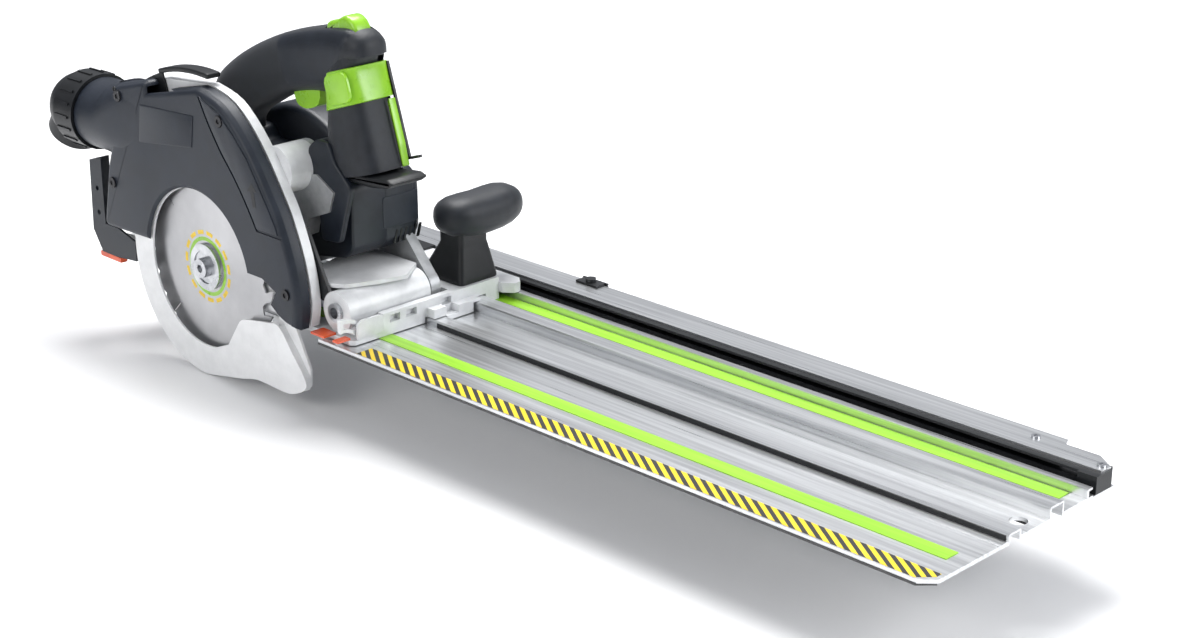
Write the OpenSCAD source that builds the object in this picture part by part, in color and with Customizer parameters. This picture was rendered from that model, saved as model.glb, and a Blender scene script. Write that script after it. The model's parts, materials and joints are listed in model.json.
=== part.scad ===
// Track plunge saw for 160 mm blades, parked at the start of its crosscut guide rail.
// Millimetres. +X is the cutting direction, +Y points from the blade to the motor, +Z is up.
// The origin is the cutting line on the workpiece surface, straight below the blade's axis.

/* [Blade] */
// Radius of the blade over its teeth
blade_r = 80; // [78:0.5:81]
// Number of teeth
blade_teeth = 24; // [18:2:48]
// Thickness of the blade's plate
plate_t = 1.1; // [1:0.1:1.4]
// Width of the cut
kerf = 1.8; // [1.6:0.1:2]
// Height of the blade's axis above the workpiece at full depth
axis_z = 29; // [28.5:0.5:30]

/* [Rail] */
// Rear end of the rail
rail_x0 = -60; // [-90:5:-50]
// Front end of the rail
rail_x1 = 674; // [640:2:800]
// Where the splinter guard starts, ahead of the swinging guard
edge_x0 = 128; // [124:1:140]
// Top of the rail's plate
rail_top = 4; // [3.5:0.5:4]
// Thickness of the rubber strips under the rail
rubber_t = 1.2; // [0.8:0.1:1.4]
// Width of the rail
rail_w = 203; // [203:1:215]
// Radius of the hole the rail hangs from
hang_r = 5.8; // [4:0.2:7]

/* [Base] */
// Front face of the base plate
base_x1 = 159.4; // [159:0.2:162]
// Rear end of the base plate
base_x0 = -124; // [-126:1:-123]
// Underside of the base plate
base_z = 4.7; // [4.6:0.1:5]
// Top of the base plate's floor
floor_z = 8.2; // [7.5:0.1:8.4]

/* [Plunge pivot] */
// Pivot's distance ahead of the blade's axis
pivot_x = 137; // [136:0.5:138]
// Pivot's height
pivot_z = 24; // [24:0.5:25]
// Radius of the pivot shaft
pivot_r = 7; // [6:0.5:9]
// Radius of the barrel around it
barrel_r = 15.5; // [14:0.5:15.5]
// Running clearance on radius
run_gap = 0.05; // [0.02:0.01:0.1]

/* [Gears] */
// Module of the blade gear and the layshaft's pinion
gear_m1 = 1.5; // [1.5]
// Module of the layshaft's gear and the motor's pinion
gear_m2 = 1.25; // [1.25]
// Teeth on the blade gear
teeth_a = 24; // [24]
// Teeth on the layshaft's pinion
teeth_b = 14; // [14]
// Teeth on the layshaft's gear
teeth_c = 34; // [34]
// Teeth on the motor's pinion
teeth_d = 10; // [10]
// Direction from the blade's axis to the motor's, above the horizontal
train_a = 46; // [44:1:48]

/* [Handle] */
// Middle plane of the handle
grip_y = 52; // [50:1:54]
// Half width of the grip
grip_hw = 16; // [15:0.5:17]
// Half width of the front column
column_hw = 20; // [19:0.5:21]

/* [Guard] */
// Outer radius of the swinging guard
guard_r = 86; // [85:0.5:86]
// Inner radius of its side plate
guard_r0 = 62; // [60:1:64]

/* [Hidden] */
$fn = 64;
e = 0.01;
rail_z0 = rubber_t + 0.2;    // underside of the rail's aluminium
outer_y = -12;              // outer face of the blade cover
rim_y = 0.4;                // where the cover's rim ends
case_y0 = 2.4;              // blade side of the gear housing's plate
case_y1 = 10;               // motor side of that plate
gears_y1 = 36;              // end of the gear space
motor_y0 = 41;
motor_y1 = 100;
cap_y1 = 109;
tooth_y0 = -2.2;            // outer side of the cut
blade_mid = tooth_y0 + kerf / 2;
blade_y0 = blade_mid - plate_t / 2;
blade_y1 = blade_mid + plate_t / 2;
bore_r = 10;                // standard 20 mm blade bore
flange_r = 18;
d1 = gear_m1 * (teeth_a + teeth_b) / 2;
d2 = gear_m2 * (teeth_c + teeth_d) / 2;
lay = [d1 * cos(train_a), axis_z + d1 * sin(train_a)];
mot = [(d1 + d2) * cos(train_a), axis_z + (d1 + d2) * sin(train_a)];
hub = [0, axis_z];
col_a = atan(28 / 87);      // lean of the handle's front column
col_foot = [160, 113];      // foot of the column's front line

// ---- helpers -------------------------------------------------------------------------------
// An XZ outline given thickness from y0 to y1
module plate_y(y0, y1) translate([0, y1, 0]) rotate([90, 0, 0]) linear_extrude(y1 - y0) children();
// A YZ outline given length from x0 to x1
module bar_x(x0, x1) translate([x0, 0, 0]) rotate([90, 0, 90]) linear_extrude(x1 - x0) children();
// An XY outline given height from z0 to z1
module slab_z(z0, z1) translate([0, 0, z0]) linear_extrude(z1 - z0) children();
module rod_y(c, y0, y1, r, r2 = -1) translate([c[0], y0, c[1]]) rotate([-90, 0, 0])
    cylinder(r1 = r, r2 = r2 < 0 ? r : r2, h = y1 - y0);
module rod_z(c, z0, z1, r) translate([c[0], c[1], z0]) cylinder(r = r, h = z1 - z0);
module box(a, b) translate(a) cube(b - a);
function bez(a, b, c, d, t) =
    pow(1 - t, 3) * a + 3 * t * pow(1 - t, 2) * b + 3 * t * t * (1 - t) * c + pow(t, 3) * d;
// A smooth line through a list of points, open or closed
function through(p, steps = 4, closed = false) =
    let (n = len(p), last = closed ? n : n - 1)
    [for (i = [0:last - 1]) let (
        a = p[closed ? (i + n - 1) % n : max(i - 1, 0)], b = p[i],
        c = p[(i + 1) % n], d = p[closed ? (i + 2) % n : min(i + 2, n - 1)])
        for (s = [0:steps - 1]) bez(b, b + (c - a) / 6, c - (d - b) / 6, c, s / steps),
     if (!closed) p[n - 1]];
function arc(c, r, a0, a1, n = 24) =
    [for (i = [0:n]) let (a = a0 + (a1 - a0) * i / n) c + r * [cos(a), sin(a)]];
function shrink(p, c, k) = [for (q = p) c + k * (q - c)];
// A ring sector between two angles
module sector(c, r0, r1, a0, a1, n = 24) polygon(concat(arc(c, r1, a0, a1, n), arc(c, r0, a1, a0, n)));

// One flank of an involute tooth: radius to angle beyond the base circle
function inv(rb, r) = let (q = sqrt(max(pow(r / rb, 2) - 1, 0))) q * 180 / PI - atan(q);
function tooth(m, z, k, slack) = let (
    r = m * z / 2, rb = r * cos(20), ra = r + m, rd = r - 1.2 * m, r0 = max(rb, rd),
    half = 90 / z - slack / r * 90 / PI + inv(rb, r), a = 360 / z * k,
    side = [for (i = [0:4]) r0 + (ra - r0) * i / 4])
    concat([[rd, a - half - 0.01]], [for (q = side) [q, a - half + inv(rb, q)]],
        [for (i = [4:-1:0]) [side[i], a + half - inv(rb, side[i])]], [[rd, a + half + 0.01]]);
module gear_2d(m, z, phase, slack = 0.12)
    polygon([for (k = [0:z - 1]) for (q = tooth(m, z, k, slack))
        q[0] * [cos(q[1] + phase), sin(q[1] + phase)]]);
module gear(c, m, z, phase, y0, y1) plate_y(y0, y1) translate(c) gear_2d(m, z, phase);

// ---- outlines ------------------------------------------------------------------------------
// Rim shared by the gear housing and the blade cover, seen from the blade's side
rim_front = through([[118, 10], [121, 28], [117, 55], [106, 85], [95, 105], [70, 140], [42, 164],
    [12, 172]]);
rim_rear = [[-50, 166.5], [-98, 154], [-104, 108], [-112, 89], [-124, 35], [-57, 37]];
rim_mid = [0, 92];
module cover_outline(k) polygon(shrink(concat(rim_front, rim_rear), rim_mid, k));

// ---- guide rail ----------------------------------------------------------------------------
lip1 = [76.8, 89.5];
rib = [119.2, 134];
wall3 = [159.3, 165];
rail_skin = 1.4;
wall_z = 9.8;                // top of the wall beside the return channel
function hat_over(y, z) = [[y[0], rail_top], [y[0], z - 1], [y[0] + 1, z], [y[1] - 1, z], [y[1], z - 1],
    [y[1], rail_top]];
function hat_under(y, z) = [[y[1] - rail_skin, rail_z0], [y[1] - rail_skin, z - rail_skin],
    [y[0] + rail_skin, z - rail_skin], [y[0] + rail_skin, rail_z0]];
module rail_section() polygon(concat(
    [[0.6, rail_z0], [0.6, rail_top]], hat_over(lip1, 8.5), hat_over(rib, 11.6),
    [[wall3[0], rail_top], [wall3[0], wall_z], [wall3[1], wall_z], [wall3[1], wall_z - rail_skin],
    [wall3[0] + 2, wall_z - rail_skin], [wall3[0] + 2, rail_top], [wall3[1] + 1, rail_top],
    [wall3[1] + 1, rail_top - 1], [194.2, rail_top - 1], [194.2, 15], [196, 15], [196, rail_z0]],
    hat_under(rib, 11.6), hat_under(lip1, 8.5)));
module rail_extrusion() color("silver") difference() {
    bar_x(rail_x0, rail_x1) rail_section();
    box([rail_x0 - 1, -1, 0], [edge_x0, 13, 20]);
    rod_z([662, 104.3], -1, 20, hang_r);
    slab_z(-1, 20) polygon([[rail_x1 - 10, 0], [rail_x1 + 1, -1], [rail_x1 + 1, 10]]);
    box([634, 190, rubber_t - 1], [rail_x1 + 1, rail_w, 30]);
}
module splinter_guard() color("dimgray") slab_z(0, rail_z0)
    polygon([[edge_x0, 0], [rail_x1 - 10, 0], [rail_x1 - 1, 9], [edge_x0, 9]]);
tape_t = 0.15;
tape_y = [1.6, 15.6];
module hazard_tape() color("gold") slab_z(rail_top, rail_top + tape_t)
    polygon([[170, tape_y[0]], [rail_x1 - 12, tape_y[0]], [rail_x1 - 3, 11], [rail_x1 - 3, tape_y[1]],
        [170, tape_y[1]]]);
module glide_strip(y0, y1) color("yellowgreen") box([rail_x0 + 2, y0, rail_top], [rail_x1 - 12, y1, rail_top + 0.5]);
module glide_strip_near() glide_strip(32, 44.1);
module glide_strip_far() glide_strip(147, 158.5);
module anti_slip_strips() color("#202022") for (y = [[16, 27], [94, 99], [109.5, 116], [174, 188]])
    box([rail_x0 + 2, y[0], 0], [rail_x1 - 4, y[1], rail_z0]);
hous_y = [171, 193.8];
hous_z = [3, 15];
cover_screw_x = [rail_x0 + 12, rail_x1 - 60];
end_screw = [668, 183];
module return_housing() color("#18191b") difference() {
    bar_x(rail_x0, rail_x1 - 14) difference() {
        translate([hous_y[0], hous_z[0]]) square([hous_y[1] - hous_y[0], hous_z[1] - hous_z[0]]);
        translate([hous_y[0] + 1.8, hous_z[0] + 1.6]) square([19, 8.8]);
        translate([hous_y[0] - 1, 10]) square([5, 3.2]);
    }
    for (x = cover_screw_x) rod_z([x, 191.5], 11, 16, 1.4);
    box([634, 190, 0], [rail_x1, 200, 30]);
}
module rail_end_cap() color("#18191b") difference() {
    slab_z(hous_z[0], hous_z[1]) polygon([[rail_x1 - 14, 169], [rail_x1, 169], [rail_x1, 186],
        [rail_x1 - 2, 189.9],
        [rail_x1 - 14, 189.9]]);
    rod_z(end_screw, 10, 16, 1.5);
}
module return_cover() color("gainsboro") difference() {
    slab_z(hous_z[1], hous_z[1] + 1.4) polygon([[rail_x0, 176.4], [672, 176.4], [673, 186], [659, 196],
        [634, 196], [631, rail_w], [rail_x0, rail_w]]);
    rod_z(end_screw, 10, 20, 1.7);
    for (x = cover_screw_x) rod_z([x, 191.5], 11, 20, 1.7);
}
rope_r = 2;
module return_rope() color("#303030") bar_x(rail_x0 + 4, rail_x1 - 14) translate([187, 8]) circle(r = rope_r, $fn = 16);
module rail_screws() color("#909498") for (c = concat([end_screw], [for (x = cover_screw_x) [x, 191.5]]))
    difference() {
        union() {
            rod_z(c, 11.2, 16.4, 1.3);
            rod_z(c, 16.4, 17.8, 3);
        }
        rod_z(c, 17, 18, 1.5, $fn = 6);
    }
module pivot_stop() color("silver") {
    rod_z([-30, 64], -12, rail_z0, 5);
    rod_z([-30, 64], rail_top, rail_top + 0.5, 8);
}
// Adjustable stop that slides along the rail's far edge
module angle_stop() color("#232427") {
    box([196, 196.3, -10], [222, 205, 1.6]);
    box([196, 203.3, -10], [222, 205, 18.2]);
    box([198, 194, 16.6], [220, 205, 18.2]);
    rod_z([209, 199], 18.2, 21, 4);
}

// ---- base plate ----------------------------------------------------------------------------
ped_z = 22;                  // top of the front bar, under the knob
jaw_w = 2.5;
jaw_gap = 0.08;
module base_plate() color("whitesmoke") difference() {
    union() {
        slab_z(base_z, floor_z) polygon([[base_x0, 13], [98, 13], [104, 7], [156, 7], [159, 10],
            [base_x1, 76],
            [base_x1 + 8, 76], [base_x1 + 8, 124], [base_x1, 124], [base_x1, 150], [base_x0, 150]]);
        // front bar with its ledges
        box([153.5, 36, floor_z], [base_x1, 150, ped_z]);
        box([base_x1, 78, floor_z], [base_x1 + 8, 90, 16]);
        box([base_x1, 102, floor_z], [base_x1 + 8, 124, 14]);
        // raised bridge over the guide rib, and the far edge over the return wall
        box([base_x0, 114, floor_z], [base_x1, 150, 14]);
        slab_z(10.3, 18) polygon([[-60, 150], [base_x1 + 4, 150], [base_x1 + 11, 156], [base_x1 + 11, 162],
            [base_x1 + 4, 167.6], [-60, 167.6]]);
        box([108, 104, floor_z], [153.5, 154, ped_z]);
        // rear bridge over the near lip
        box([base_x0, 68, base_z], [-98, 100, 12]);
    }
    // window the saw swings through
    box([-96, 12, 0], [104, 108, 30]);
    // channel for the guide rib, and room for the near lip and the return wall
    box([base_x0 - 1, rib[0] - jaw_w, 0], [base_x1 + 20, rib[1] + jaw_w, 12]);
    box([base_x0 - 1, lip1[0] - 1, 0], [base_x1 + 20, lip1[1] + 1, 9]);
    box([base_x0 - 1, wall3[0] - 1, 0], [base_x1 + 20, wall3[1] + 6, 10.3]);
    // pockets in the front bar
    for (y = [42, 58, 92]) box([155, y, 14], [base_x1 + 1, y + 10, 19.5]);
    box([28, 118, 12.4], [60, 136, 20]);
    // room for the bevel clamp's hub
    box([base_x0 + 4, 11, 0], [base_x0 + 13, 26, 9]);
}
// Curved slots that carry the bevel, centred on the cutting line
seg_r = 21;
seg_a = 32;
stud_r = 2;
slot_gap = 0.15;
stud = seg_r * [cos(seg_a), sin(seg_a)];
slot_a = [26.3, 88.2];       // angles the slot spans, so the stud can travel the whole bevel
module segment(x0, x1) bar_x(x0, x1) difference() {
    union() {
        intersection() {
            difference() {
                circle(r = 26);
                circle(r = 16.2);
            }
            translate([-2, floor_z]) square([32, 20]);
        }
        difference() {
            translate([12.5, floor_z]) square([23, 10]);
            circle(r = 25);
        }
    }
    intersection() {
        difference() {
            circle(r = seg_r + stud_r + slot_gap);
            circle(r = seg_r - stud_r - slot_gap);
        }
        polygon([[0, 0], for (k = [0:4]) let (a = slot_a[0] + (slot_a[1] - slot_a[0]) * k / 4) 40 * [cos(a), sin(a)]]);
    }
}
module front_segment() color("whitesmoke") segment(154.2, 157.6);
module rear_segment() color("whitesmoke") segment(base_x0 + 0.4, base_x0 + 3.8);
module guide_jaws() color("#8bc34a") for (x = [-110, 96]) {
    box([x, 115, 14], [x + 10, 118, 17]);
    box([x, rib[0] - jaw_w, 5.2], [x + 16, rib[0] - jaw_gap, 11]);
    box([x, rib[1] + jaw_gap, 5.2], [x + 16, rib[1] + jaw_w, 11]);
}
module cut_pointers() color("orangered")
    for (x = [[124, 139], [149, 155]]) box([x[0], -3, floor_z], [x[1], 8.6, 9.8]);
module rope_catch() color("#26282b") {
    box([40, 158, 18], [64, 170.2, 20]);
    box([40, 167.6, 10.6], [64, 170.2, 20]);
    box([40, 170.2, 10.6], [64, 184.4, 12.6]);
}
neck_z = 50;
neck_top = 62;
neck = [[127, 119], [152, 147]];
module neck_outline() translate(neck[0]) square(neck[1] - neck[0]);
module knob_pedestal() color("#2b2f36") union() {
    hull() {
        box([112, 114, ped_z], [157, 152, ped_z + 1]);
        slab_z(neck_z, neck_z + 1) neck_outline();
    }
    slab_z(neck_z, neck_top) neck_outline();
}
// Corners of the knob: X, Y, Z and radius
knob = [[131, 125, 69.5, 13.5], [147, 125, 68.5, 13.5], [132, 172, 71.5, 14], [147, 173, 70.5, 14]];
module knob_grip() color("#2b2f36") difference() {
    hull() for (p = knob) translate([p[0], p[1], p[2]]) scale([1, 1, 1.2]) sphere(r = p[3], $fn = 24);
    slab_z(neck_z - 1, neck_top) neck_outline();
}

// ---- tilting frame -------------------------------------------------------------------------
barrel_y = [11.8, 88];
module tilt_frame() color("whitesmoke") difference() {
    union() {
        rod_y([pivot_x, pivot_z], barrel_y[0], barrel_y[1], barrel_r);
        // plate above the barrel, and the webs that carry it
        slab_z(40, 43) polygon([[126, 14], [112, 22], [97, 26], [92, 28], [80, 74], [80, 88], [pivot_x, 88],
            [152, 66], [147, 45], [pivot_x, 20]]);
        box([112, 22, 24], [pivot_x, 27, 40.5]);
        box([112, 83, 24], [pivot_x, 88, 40.5]);
        box([108, 44, 9], [pivot_x, 58, 40.5]);
        // studs in the curved slots
        for (s = [[149, 158.2], [base_x0 - 3, base_x0 + 11]])
            bar_x(s[0], s[1]) translate(stud) circle(r = stud_r, $fn = 32);
        box([pivot_x, 15, pivot_z - barrel_r + 0.3], [153, 25, 16]);
        // beam to the rear and its cross bar
        box([base_x0 - 13, 45.5, 9], [110, 58, 18]);
        box([base_x0 - 13, 11, 9], [base_x0 - 1, 58, 18]);
    }
    rod_y([pivot_x, pivot_z], 0, 100, pivot_r + run_gap);
    // spring chamber
    rod_y([pivot_x, pivot_z], 30, 70, 11);
}
module rear_bracket() color("#34383f") difference() {
    union() {
        plate_y(-6, -4) polygon([[-146, 84], [-130, 88], [-130, 34], [-112, 34], [-90, 28], [-90, 12],
            [-118, 9.5],
            [-137, 9.5], [-148, 26]]);
        plate_y(-4, 11) polygon([[-146, 84], [-144, 84], [-146, 27], [-137, 11], [-137, 9.5], [-148, 26]]);
        plate_y(-4, 11) polygon([[-137, 9.5], [-137, 18], [-126, 18], [-126, 9.5]]);
    }
    for (z = [42, 62]) rod_y([-138, z], -7, -3, 2.2);
}
module rear_insert() color("orangered") slab_z(5.5, 9.3) polygon([[-140, -6], [-112, -6], [-112, 0], [-140, 10]]);
spring_turns = 7;
spring_wire = 1.1;
module plunge_spring() color("#7d8186") {
    n = 16 * spring_turns;
    k = 8;
    ring = [for (i = [0:n]) let (a = 360 * i / 16, y = 33 + 34 * i / n) for (j = [0:k - 1])
        let (b = 360 * j / k, r = 9.2 + spring_wire * cos(b))
        [pivot_x + r * cos(a), y + spring_wire * sin(b), pivot_z + r * sin(a)]];
    walls = [for (i = [0:n - 1]) for (j = [0:k - 1]) let (p = i * k + j, q = i * k + (j + 1) % k)
        each [[p, q, q + k], [p, q + k, p + k]]];
    ends = concat([for (j = [1:k - 2]) [0, j + 1, j]],
        [for (j = [1:k - 2]) [n * k, n * k + j, n * k + j + 1]]);
    polyhedron(points = ring, faces = concat([for (f = walls) [f[0], f[2], f[1]]],
        [for (f = ends) [f[0], f[2], f[1]]]));
}
module depth_sector() color("#202327") plate_y(11, 13.5) difference() {
    sector([pivot_x, pivot_z], barrel_r + 0.1, 66, 118, 160);
    for (k = [0:5]) sector([pivot_x, pivot_z], 58, 61, 122 + 6 * k, 125 + 6 * k, 4);
}
// Lever that clamps the bevel, on the rear stud
module bevel_lever() color("#2b2f36") bar_x(base_x0 + 4.2, base_x0 + 10.2) translate(stud) difference() {
    union() {
        circle(r = 5);
        rotate(70) translate([0, -3.5]) square([26, 7]);
        rotate(70) translate([26, 0]) circle(r = 3.5);
    }
    circle(r = stud_r + run_gap);
}

// ---- gear housing and drive ----------------------------------------------------------------
arbor_r = 8;
tail_r = 5.5;
lobe = [76, 118];
lobe_r = 18;
module gear_profile(wall) {
    translate(hub) circle(r = 20.2 + 0.7 * wall);
    translate(lay) circle(r = 23.3 + wall);
    translate(mot) circle(r = 14 + wall);
}
boss_r = 20.6;
module gear_housing() color("gainsboro") difference() {
    union() {
        plate_y(case_y0, case_y1) difference() {
            polygon(concat(rim_front, [[-50, 166], [-84, 156], [-84, 88], [-108, 86], [-112, 45],
                [-57, 37], [-40, 12]]));
            translate([0, -10]) square([260, 40], center = true);
        }
        rod_y(hub, 0.4, case_y0, boss_r - run_gap);
        plate_y(case_y1, gears_y1) gear_profile(3);
        // lobe for the motor's flange
        plate_y(case_y1, gears_y1) translate(lobe) circle(r = lobe_r);
    }
    plate_y(case_y1 + 2, gears_y1 + 1) gear_profile(0);
    plate_y(case_y1 + 2, gears_y1 + 1) translate(lobe) circle(r = lobe_r - 3);
    rod_y(hub, 0, case_y0, flange_r + 0.8);
    rod_y(hub, case_y0 - e, case_y1 + 3, 15);
    rod_y(lay, case_y1 - 4, case_y1 + 3, 8);
}
module case_bracket() polygon([[38, 84], [62, 112], [80, 112], [99, 116], [118, 106], [112, 90],
    [88, 80], [84, 66],
    [62, 56]]);
module gear_case_cover() color("#9a9da0") difference() {
    union() {
        plate_y(gears_y1, motor_y0) gear_profile(3);
        plate_y(gears_y1, motor_y0) translate(lobe) circle(r = lobe_r);
        plate_y(gears_y1, motor_y0 - 1) case_bracket();
        plate_y(gears_y1 - 8, gears_y1 + e) difference() {
            case_bracket();
            gear_profile(3 + run_gap);
            translate(lobe) circle(r = lobe_r + run_gap);
        }
    }
    rod_y(hub, gears_y1 - 1, motor_y0 + 1, 11);
    rod_y(lay, gears_y1 - 1, gears_y1 + 3, 8);
    rod_y(mot, gears_y1 - 1, motor_y0 + 1, 9.5);
}
module pivot_arm() color("#6f7378") difference() {
    union() {
        rod_y([pivot_x, pivot_z], 91, motor_y1, 13);
        plate_y(91, motor_y1) polygon([[pivot_x - 12.9, pivot_z], [84, 40], [84, 46.571], [108, 50],
            [120, 62],
            [pivot_x + 9, pivot_z + 9]]);
    }
    rod_y([pivot_x, pivot_z], 90, 101, pivot_r);
}
module plunge_shaft() color("silver") difference() {
    rod_y([pivot_x, pivot_z], 9, 103, pivot_r);
    rod_y([pivot_x, pivot_z], 8, 18, 4.2);
}
shaft_r = 4;
module ring_y(c, y0, y1, r, r0) difference() {
    rod_y(c, y0, y1, r);
    rod_y(c, y0 - 1, y1 + 1, r0);
}
module bearings() color("#b9bdc1") {
    ring_y(hub, 3, case_y1, 15, arbor_r + run_gap);
    ring_y(hub, gears_y1, motor_y0, 11, tail_r + run_gap);
    ring_y(lay, case_y1 - 4, case_y1, 8, shaft_r + run_gap);
    ring_y(lay, gears_y1, gears_y1 + 3, 8, shaft_r + run_gap);
    ring_y(mot, gears_y1, motor_y0, 9.5, shaft_r + run_gap);
    ring_y(mot, 94, 99, 9.5, shaft_r + run_gap);
}
module layshaft() color("#8b9095") {
    rod_y(lay, case_y1 - 3.9, gears_y1 + 2.9, shaft_r);
    gear(lay, gear_m1, teeth_b, train_a + 180 + 180 / teeth_b, 13, 22);
    gear(lay, gear_m2, teeth_c, train_a, 25, 32);
}
module rotor() color("#7b7f84") {
    rod_y(mot, 24, 99, shaft_r);
    gear(mot, gear_m2, teeth_d, train_a + 180 + 180 / teeth_d, 24, 33);
    rod_y(mot, 54, 88, 15);
}
module cooling_fan() color("#2c2f33") difference() {
    union() {
        rod_y(mot, 44, 46, 28);
        for (k = [0:10]) plate_y(46, 51) translate(mot) rotate(k * 360 / 11)
            translate([12, -0.8]) square([15, 1.6]);
        rod_y(mot, 44, 51, 8);
    }
    rod_y(mot, 40, 60, shaft_r);
}
module stator() color("#a0622d") difference() {
    rod_y(mot, 54, 88, 34);
    rod_y(mot, 50, 100, 15.6);
    for (k = [0:5]) plate_y(53, 89) translate(mot) rotate(60 * k) translate([17, -2]) square([10, 4]);
}
module arbor() color("silver") {
    rod_y(hub, -0.75, case_y1, arbor_r);
    rod_y(hub, case_y1, motor_y0 + 1, tail_r);
    gear(hub, gear_m1, teeth_a, train_a, 13, 21);
}
module inner_flange() color("#a7abaf") difference() {
    union() {
        rod_y(hub, blade_y1, case_y0 - 0.3, flange_r);
        rod_y(hub, blade_y0, blade_y1, bore_r - 0.03);
    }
    rod_y(hub, -0.75, 5, arbor_r);
    rod_y(hub, -3, 5, 4.1);
}
module outer_flange() color("#c3c6c9") difference() {
    rod_y(hub, -5, blade_y0, flange_r);
    rod_y(hub, -6, 0, 4.1);
    rod_y(hub, -6, -4, 13);
}
module arbor_screw() color("#3a3d41") difference() {
    union() {
        rod_y(hub, -4, -0.75, 4);
        rod_y(hub, -9.5, -4, 7.5);
    }
    rod_y(hub, -10, -6, 3.4, $fn = 6);
}
// One tooth of the blade: gullet, face and back
function blade_tooth(k) = let (p = 360 / blade_teeth, a = k * p, r = blade_r)
    [for (q = [[r, 0], [r - 9, -0.2 * p], [r - 12, 0.12 * p], [r - 9, 0.36 * p], [r - 2.5, 0.55 * p],
        [r - 1, 0.8 * p]])
        q[0] * [cos(a + q[1]), sin(a + q[1])]];
module saw_blade() color("silver") difference() {
    union() {
        plate_y(blade_y0, blade_y1) translate(hub) polygon([for (k = [0:blade_teeth - 1]) each blade_tooth(k)]);
        for (k = [0:blade_teeth - 1]) plate_y(tooth_y0, tooth_y0 + kerf) translate(hub)
            rotate(k * 360 / blade_teeth) polygon([[blade_r, 0], [blade_r - 6, -2.4],
                [blade_r - 5, -4.4], [blade_r - 0.5, -2.4]]);
    }
    rod_y(hub, -5, 5, bore_r);
    for (k = [0:3]) plate_y(-5, 5) translate(hub) rotate(45 + 90 * k)
        translate([56, -0.4]) square([13, 0.8]);
}
nose = through([[29, -25], [40, -9], [47.6, -0.2], [62, 3], [79, 6], [92.6, 6.5], [108, -11],
    [121, -27], [120, -36],
    [102, -44], [78, -44], [62, -44], [46, -48]], 3);
nose_edge = [[92.6, 6.5], [108, -11], [121, -27], [120, -36]];
nose_t = 1.5;
module pendulum_guard() color("whitesmoke") {
    // side plate with its nose
    plate_y(-8, -6.6) polygon(concat(arc(hub, guard_r, -90, -252, 40), arc(hub, guard_r0, -252, -78, 40),
        nose));
    // band around the teeth
    plate_y(-6.6, -0.5) sector(hub, 83, guard_r, -86, -252, 40);
    plate_y(-0.5, 0.6) sector(hub, 83, guard_r, -210, -252, 12);
    // inner arm and hub ring
    difference() {
        plate_y(0.6, 2) union() {
            sector(hub, boss_r, guard_r, -222, -252, 10);
            translate(hub) circle(r = boss_r + 3.2);
        }
        rod_y(hub, 0, 3, boss_r);
    }
    // front edge, bottom and back of the nose
    plate_y(-6.8, -2.2) polygon(concat(nose_edge, [for (i = [3:-1:0]) nose_edge[i] - [nose_t, nose_t]]));
    plate_y(-6.8, -2.2) polygon([[46, -48], [62, -44], [104, -43.5], [104, -42], [62, -42], [46, -45]]);
    plate_y(-2.4, -0.5) polygon([[84, -6], [88, 18], [91, 20], [102, 15], [121, -21], [120, -35],
        [102, -43.5], [84, -43.5]]);
}
module guard_lever() color("#33373e") {
    plate_y(0.6, 2) sector(hub, guard_r + 0.05, 149, 105, 117, 8);
    plate_y(-3, 9.6) sector(hub, 148.5, 152.5, 84, 108, 12);
}
port = [14, 118];            // axis of the dust port, in Y and Z
port_r = 28;
module tube_x(x0, x1, r) bar_x(x0, x1) translate(port) circle(r = r);
module blade_cover() color("#3c4048") difference() {
    union() {
        plate_y(-8, rim_y) polygon(concat(rim_front, rim_rear));
        plate_y(-10.5, -8 + e) cover_outline(0.985);
        plate_y(outer_y, -10.5 + e) cover_outline(0.955);
    }
    // room for the blade and the guard
    plate_y(-9.8, 10) polygon(concat(arc(hub, 90, -14, 186, 50)));
    box([-92, -9.8, -10], [90, 10, axis_z]);
    box([84, -9.8, -10], [113.5, 10, 33]);
    // chip channel above the blade to the port
    plate_y(-9.8, 10) polygon([[-93, 122], [-93, 148], [-45, 163], [8, 164], [66, 130], [90, 60], [0, 90]]);
    tube_x(-170, -80, port_r - 4);
    box([-93, -9.8, 100], [-60, 10, 140]);
    // window
    plate_y(-15, 0) translate(hub) circle(r = guard_r0 + 0.6);
    plate_y(-15, -5) polygon([[50, 42], [81, 42], [97, 35], [90, 24], [99, 18], [110, 6], [40, 6]]);
    plate_y(-15, 10) polygon([[-57, 37], [-70, 0], [100, 0], [118, 8.5], [99, 18], [40, 18], [-30, 37]]);
}
cover_screw = [[40, 152], [109, 36], [-105, 75], [-89, 147]];
panel = through([[16, 166], [25, 150], [39, 130], [54, 113], [68, 94], [78, 78]]);
module cover_panel() color("#30343b") plate_y(outer_y - 0.8, outer_y)
    difference() {
        polygon(concat(panel, [[105, 78], [95, 98], [72, 131], [42, 159], [22, 167]]));
        translate(cover_screw[0]) circle(r = 4.6);
    }
module cover_screws() color("#1d1f22") for (c = cover_screw) difference() {
    rod_y(c, outer_y - 1.4, outer_y, 4.2);
    rod_y(c, outer_y - 2, outer_y - 0.6, 2, $fn = 6);
}
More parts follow.
